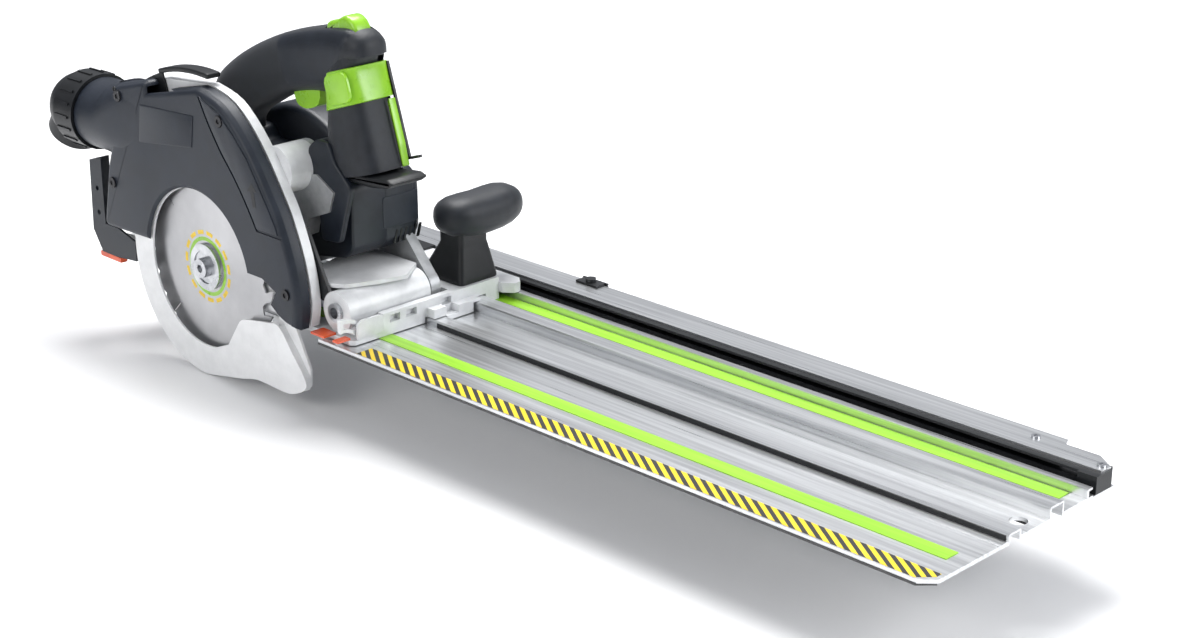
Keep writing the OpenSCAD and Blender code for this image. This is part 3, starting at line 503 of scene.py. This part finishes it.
# guard's finger lever on the cover's top edge
pad_top = arc(HUB, 152.6, 84, 108, 16) + arc(HUB, 148.6, 108, 84, 16)
pad = slab("lever_pad", soft(pad_top, 1.6, 3), edge(-3, 9.6, 1.2, 1.2, 3))
stalk = slab("lever_stalk", arc(HUB, 149.5, 108, 118, 8) + arc(HUB, 86.1, 118, 108, 8),
             [(0.2, 0.6), (0, 0.8), (0, 1.8), (0.2, 2)])
dress(joined("guard_lever_body", [pad, stalk]), "guard", "black_plastic", ["guard_lever"])

# ---- handle ---------------------------------------------------------------------------------
GRIP_POWER = 2.7
COL_POWER = 3.4
COL_Y = GRIP_Y + 0.6
# (X, Z) of each section's top and bottom, and its half width
grip_stations = [((-41, 123), (0, 123), 15.5), ((-43.5, 138), (-1, 131), 16), ((-42, 152), (5, 138.5), 16.5),
                 ((-33, 167), (14, 145), 16.5), ((-14, 181), (26, 151.5), 16.3),
                 ((10, 194.3), (40, 159), 16), ((38, 206.3), (56, 165.5), 16), ((64, 214.8), (74, 170), 16),
                 ((92, 221.6), (93, 173), 16.5), ((112, 225), (104, 176), 17),
                 ((128, 225.6), (110, 182), 17.5), ((140, 219), (114, 190), 17), ((143, 208), (118, 201), 15)]
fine_grip = smooth_stations(grip_stations, 4)
grip = loft("main_grip", [section(s, GRIP_Y, GRIP_POWER) for s in fine_grip])
trigger_room = slab("trigger_room", [(55.6, 150), (86.4, 150), (86.4, 186.5), (55.6, 186.5)],
                    [(0, 44.6), (0, 59.4)])
lock_room = slab("lock_room", [(97, 212), (131.2, 212), (131.2, 240), (97, 240)], [(0, 43.6), (0, 60.4)])
cut(grip, trigger_room, lock_room)
dress(grip, "saw", "soft_grip", ["handle_near"], 38)
col_stations = [((137, 215), (111, 206), 17), ((134.8, 204), (107.5, 197), 18.5),
                ((132.6, 197), (105.5, 188), 20), ((139, 178), (102.5, 165), 20),
                ((147, 153), (100.5, 142), 20.5), ((153, 135), (103, 128), 21),
                ((155.6, 126.5), (107.5, 113.5), 21)]
fine_col = smooth_stations(col_stations, 4)
column = loft("front_column", [section(s, COL_Y, COL_POWER) for s in fine_col])


def col_slab(name, x, y, z):
    """A block in the column's frame, each of x, y, z from and to."""
    outline = [col(x[0], z[0]), col(x[1], z[0]), col(x[1], z[1]), col(x[0], z[1])]
    return slab(name, outline, [(0, y[0]), (0, y[1])])


cut(column, col_slab("lever_slot", (-5.2, 10), (60.5, 68), (10, 95)),
    col_slab("key_slot", (-3.4, 10), (69, 73), (16, 100)))
dress(column, "saw", "soft_grip", ["handle_far"], 38)

# smoother thumb panel on the grip's near side
FIRST, LAST = 25, 41     # sections of the grip under the panel
ROWS = 12
patch = []
for i in range(FIRST, LAST + 1):
    w = fine_grip[i][2]
    outer_l, inner_l = [], []
    for k in range(ROWS + 1):
        u, v = squircle(math.radians(-28 - 8.7 * k), GRIP_POWER)
        out = 1.0 if k in (0, ROWS) or i in (FIRST, LAST) else 1.035
        outer_l.append(on_skin(fine_grip[i], GRIP_Y, u, v, out, w * (out - 1)))
        inner_l.append(on_skin(fine_grip[i], GRIP_Y, u, v, 0.97, w * (0.97 - 1)))
    patch.append(outer_l + inner_l[::-1])
dress(loft("thumb_panel", patch), "saw", "dark_housing", angle=45)

# ---- green controls -------------------------------------------------------------------------
button_line = spline([(131, 217), (130.5, 223), (126, 230), (118, 233), (110, 229.4), (98, 225),
                      (97.6, 217)], 4)
button = slab("lock_button_body", soft(button_line, 0.8, 2), edge(44, 60, 3.2, 3.2, 5))
dress(button, "lock_button", "green_plastic", ["lock_button"], 50)

# strap of the quick lever, wrapped round the column
BAND_GAP = 0.25
BAND_ROUND = 32
band_z = [65, 65.6, 67, 71, 75, 79, 83, 87, 89.4, 90.4, 91]
band = []
for z in band_z:
    level = col(0, z)[1]
    i = next(i for i in range(len(fine_col) - 1) if fine_col[i + 1][0][1] < level or i == len(fine_col) - 2)
    upper, lower = fine_col[i], fine_col[i + 1]
    f = (upper[0][1] - level) / max(0.01, upper[0][1] - lower[0][1])
    station = between(upper, lower, min(1.0, max(0.0, f)))
    half = math.dist(station[0], station[1]) / 2
    full = 0.9 if z in (band_z[0], band_z[-1]) else 1.9
    outer_l, inner_l = [], []
    for k in range(BAND_ROUND + 1):
        u, v = squircle(math.radians(-124 + 242 * k / BAND_ROUND), COL_POWER)
        grow = full * (0.35 + 0.65 * min(1.0, k / 2, (BAND_ROUND - k) / 2))
        outer_l.append(on_skin(station, COL_Y, u, v, 1 + grow / half, grow))
        inner_l.append(on_skin(station, COL_Y, u, v, 1 + BAND_GAP / half, BAND_GAP))
    band.append(outer_l + inner_l[::-1])
strap = loft("quick_band", band)
stem = slab("quick_stem", soft([col(1, 14), col(1, 62), col(3.2, 64), col(3.2, 30), col(1.8, 15)], 0.8, 3),
            edge(61, 67.4, 0.8, 0.8, 3))
tab = slab("quick_tab", soft([col(-25, 67), col(1, 67), col(1, 89.5), col(-25, 89.5)], 8, 6),
           edge(31.9, 29.3, 0, 1.0, 3))
dress(joined("quick_lever_body", [strap, stem, tab]), "quick_lever", "green_plastic", ["quick_lever"], 40)

# ---- motor housing --------------------------------------------------------------------------
HOUSING_END = 100.0
front_box = [(96, 117), (113, 113), (119.5, 109), (122, 102), (122, 60), (112, 51.5), (80, 46), (62, 33),
             (28, 30), (0, 38), (-44, 50)]
low = soft([(-44, 127), (-2, 127), (4, 117)] + front_box, 4, 4)
dome = spline([(-44, 100), (-34, 122), (-10, 139), (15, 145), (40, 143), (64, 133), (96, 117)], 4)
high = soft(dome + front_box[1:], 3, 3)
can = joined("motor_can", [slab("can_low", low, edge(41, 73, 2.0, 0.2, 3)),
                           slab("can_high", high, edge(69, HOUSING_END, 6.0, 0.6, 6))])
dress(can, "saw", "dark_housing", ["motor_housing"], 34)
cap_line = [(-20, 52), (-26, 100), (-6, 132), (16, 138), (40, 136), (62, 124), (96, 115), (112, 110.5),
            (120.5, 101), (120.5, 61), (110, 52.5), (78, 48), (60, 36), (28, 33)]
end_cap = slab("motor_cap", soft(cap_line, 7, 5),
               [(0, 100.2), (0, 102.5), (0.6, 105), (2.0, 107.2), (4.4, 108.6), (7.5, 109)])
SLOT_HALF = 1.3
slots = []
for k in range(-3, 4):
    z = 70.4 + 6 * k
    outline = [(18, z - SLOT_HALF), (62, z - SLOT_HALF), (62, z + SLOT_HALF), (18, z + SLOT_HALF)]
    slots.append(slab("slot", soft(outline, 1.2, 3), [(0, 105), (0, 112)]))
cut(end_cap, *slots)
dress(end_cap, "saw", "dark_housing", ["motor_end_cap"], 34)
grille = []
for k in range(6):
    y = 79 + 4.6 * k
    outline = [(y, 56.5), (y + 2.4, 56.5), (y + 5.6, 67), (y + 3.2, 67)]
    grille.append(slab("louvre", soft(outline, 0.7, 2), [(0, 121.2), (0.3, 122.3)], "x"))
dress(joined("front_louvres", grille), "saw", "black_plastic", angle=40)
plate = slab("rating_plate", soft([(70, 70), (104, 70), (104, 94), (70, 94)], 2, 3),
             [(0, 120.8), (0, 122.2), (0.3, 122.5)], "x")
dress(plate, "saw", "cover_plastic", angle=40)
shoulder = slab("shoulder_face", soft([(88, 134), (98, 142), (112, 141), (118, 128), (136, 112), (121, 68),
                                       (100, 66), (97, 97), (90, 117)], 4, 4), edge(33.7, 29.6, 0.2, 1.6, 4))
behind = slab("shoulder_block", soft([(88, 134), (98, 142), (104, 141), (105.5, 128), (104, 67), (100, 66),
                                      (97, 97), (90, 117)], 3, 3), [(0, 33), (0, 41.5)])
dress(joined("shoulder", [shoulder, behind]), "saw", "dark_housing", angle=40)

paddle_line = [(114, 115.5), (150, 115.4), (170, 118.4), (176, 122.6), (170, 125.4), (150, 123.4),
               (130, 124), (114, 124.4)]
paddle = slab("depth_lever_paddle", soft(paddle_line, 2, 3), edge(34.2, 68.8, 2.4, 2.4, 4))
dress(paddle, "depth_lever", "black_plastic", ["depth_lever"], 45)

# ---- battery --------------------------------------------------------------------------------
pack = slab("battery_body", soft([(47.5, 54), (99, 54), (99, 116), (93, 125), (53, 125), (47.5, 116)], 5, 4),
            [(5, -112), (1.5, -111.2), (0.3, -109.4), (0, -107), (0, -92), (0.8, -91.5), (0.8, -90.5),
             (0, -90), (0, -47), (0.6, -44.6)], "x")
dress(pack, "battery", "dark_housing", ["battery_pack"], 34)

# ---- front knob -----------------------------------------------------------------------------
KNOB_X = 139.2
HEAD_POWER = 2 / 0.85
head_y = [110.7, 111.3, 112.8, 115.6, 120, 127, 136, 149, 162, 171, 178, 182.4, 185, 186.5, 187]
head = []
for i, y in enumerate(head_y):
    t = (y - 110.6) / 76.5
    at_end = i in (0, len(head_y) - 1)
    k = 0.16 if at_end else max(0.0, 1 - abs(2 * t - 1) ** 3.2) ** 0.42
    wide = (21.8 - 2.2 * math.sin(math.pi * t)) * k
    tall = (17.6 - 1.4 * math.sin(math.pi * t)) * k
    mid = 70 + 1.4 * t + 1.0 * math.cos(2 * math.pi * t)
    ring = [squircle(2 * math.pi * j / 40, HEAD_POWER) for j in range(40)]
    head.append([(KNOB_X + u * wide, y, mid + v * tall) for u, v in ring])
dress(loft("knob_head", head), "carriage", "soft_grip", ["knob_grip"], 50)
# Z, then the X and Y sides, of each level
foot_at = [(22, 112.6, 156.4, 114.6, 151.4), (22.6, 112, 157, 114, 152), (25, 112, 157, 114, 152),
           (26, 112.4, 156.8, 114.2, 151.8), (49, 126, 152.6, 118.6, 147.4), (51, 127, 152, 119, 147),
           (62, 127, 152, 119, 147)]
foot = [[(x, y, z) for x, y in soft([(x0, y0), (x1, y0), (x1, y1), (x0, y1)], 4, 4)]
        for z, x0, x1, y0, y1 in foot_at]
dress(loft("knob_foot", foot), "carriage", "black_plastic", ["knob_pedestal"], 30)

# ---- blade print and rail details -----------------------------------------------------------
PRINT_Y = -1.84     # just outside the blade's face
PRINT_T = 0.06


def flat_ring(r0, r1, a0, a1, n):
    outline = arc(HUB, r1, a0, a1, n) + arc(HUB, r0, a1, a0, n)
    return slab("print", outline, [(0, PRINT_Y), (0, PRINT_Y - PRINT_T)])


dashes = joined("blade_dashes", [flat_ring(25.2, 28.4, 24 * k, 24 * k + 16, 6) for k in range(15)])
dress(dashes, "arbor", "hazard")
dashes.data.materials[0] = MAT["printed_yellow"]
green_ring = joined("blade_ring", [flat_ring(20.2, 23.2, 120 * k, 120 * k + 119.5, 24) for k in range(3)])
dress(green_ring, "arbor", "green_plastic")

corner = slab("corner_plate", soft([(11, 8.6), (36, 8.6), (36, 21), (32, 23), (15, 23), (11, 20)], 1.5, 3),
              edge(158.4, 160.4, 0.3, 0.5, 2), "x")
dress(corner, "carriage", "white_casting", angle=40)
# a thin black strip on the near face of the rail's lip: painted shade for the shadow and dark reflection
# along the lip, not a real part
lip_shade_strip = slab("lip_painted_shade_strip", [(76.1, 4), (76.8, 4), (76.8, 7.4), (76.1, 7.4)], [(0, 172), (0, 672)], "x")
dress(lip_shade_strip, "rail", "black_plastic")

# ---- stage ----------------------------------------------------------------------------------
FLOOR = 9000
lowest = min(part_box("pendulum_guard")[0].z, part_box("angle_stop")[0].z)
floor = mesh("floor", [(-FLOOR, -FLOOR, 0), (FLOOR, -FLOOR, 0), (FLOOR, FLOOR, 0), (-FLOOR, FLOOR, 0)],
             [(0, 1, 2, 3)])
floor.location.z = lowest - 0.0005
floor.data.materials.append(material("floor", (0.86, 0.86, 0.865), (0.9, 0.9, 0.9), 0.6, 0, 2, 30, 0.01))


def lamp(name, size, power, place, aim, colour=(1, 1, 1)):
    data = bpy.data.lights.new(name, "AREA")
    data.shape = "RECTANGLE"
    data.size, data.size_y = size
    data.energy = power
    data.color = colour
    o = bpy.data.objects.new(name, data)
    scene.collection.objects.link(o)
    o.location = place
    o.rotation_euler = (Vector(aim) - Vector(place)).to_track_quat("-Z", "Y").to_euler()


aim = (0.2, 0.08, 0.05)
lamp("key", (1.3, 1.0), 62, (-0.4, 0.6, 2.0), aim)
lamp("side", (0.9, 1.4), 30, (2.2, 1.2, 1.1), aim, (0.97, 0.98, 1))
lamp("front", (1.8, 0.7), 20, (0.2, -2.2, 1.3), aim, (1, 0.99, 0.97))
world = bpy.data.worlds.new("studio")
world.use_nodes = True
t = world.node_tree
split = t.nodes.new("ShaderNodeSeparateXYZ")
t.links.new(t.nodes.new("ShaderNodeTexCoord").outputs["Generated"], split.inputs[0])
fade = t.nodes.new("ShaderNodeValToRGB")
fade.color_ramp.elements[0].position = 0.02
fade.color_ramp.elements[0].color = (0.34, 0.36, 0.42, 1)
fade.color_ramp.elements[1].position = 0.55
fade.color_ramp.elements[1].color = (1.25, 1.28, 1.35, 1)
t.links.new(split.outputs["Z"], fade.inputs["Fac"])
t.links.new(fade.outputs["Color"], t.nodes["Background"].inputs["Color"])
t.nodes["Background"].inputs["Strength"].default_value = 0.42
scene.world = world
scene.view_settings.view_transform = "Standard"
